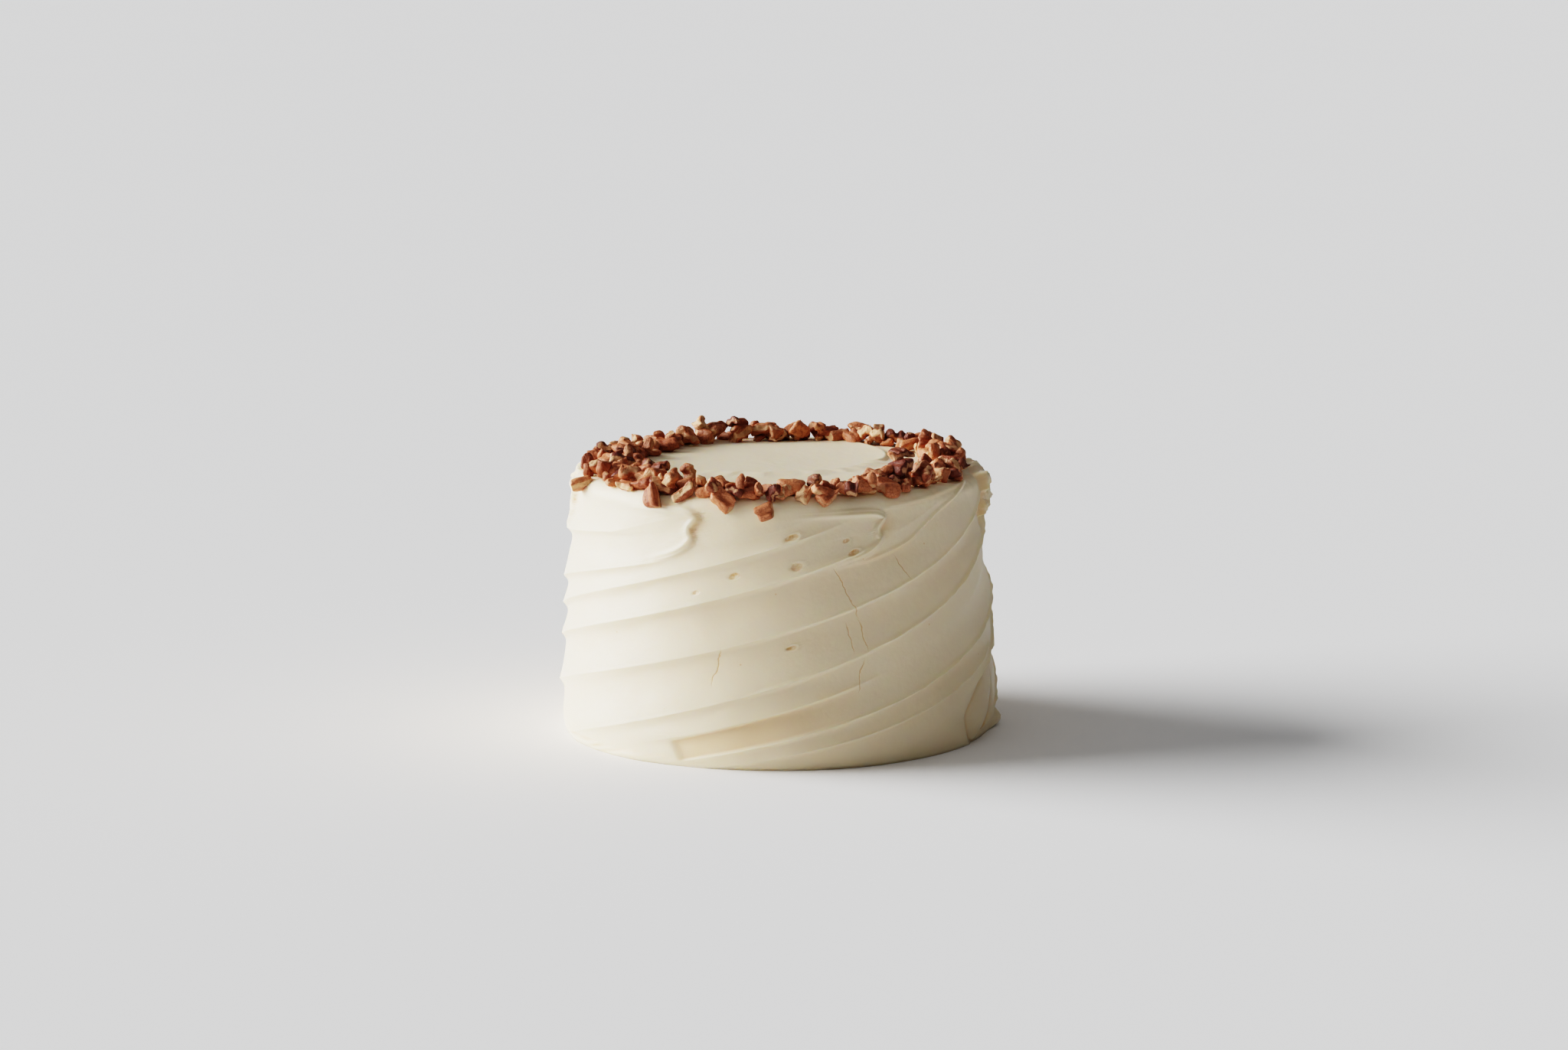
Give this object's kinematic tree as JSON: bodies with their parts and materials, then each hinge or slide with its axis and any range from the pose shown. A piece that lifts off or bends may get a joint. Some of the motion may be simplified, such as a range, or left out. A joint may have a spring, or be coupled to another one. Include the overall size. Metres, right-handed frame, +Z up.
{
  "type": "hummingbird cake",
  "caption": "Tall round layer cake under cream cheese icing, drawn up by a spatula in slanting strokes round the side, with a ring of chopped pecans on its flat top.",
  "frame": {"origin": "middle of the cake's foot, on the surface it stands on", "axes": "+Z up along the cake's axis, -Y towards the shown front, +X to the right as seen from the front"},
  "size_m": [0.2798, 0.2803, 0.1852],
  "materials": {
    "icing": "soft cream cheese icing, smooth with a low sheen",
    "pecan": "chopped nut: reddish brown skin and tan broken flesh, matt"
  },
  "bodies": {
    "root": {"iced_cake": "icing", "pecan_ring": "pecan", "pecan_left": "pecan", "pecan_wedge": "pecan", "pecan_low": "pecan"}
  },
  "joints": []
}
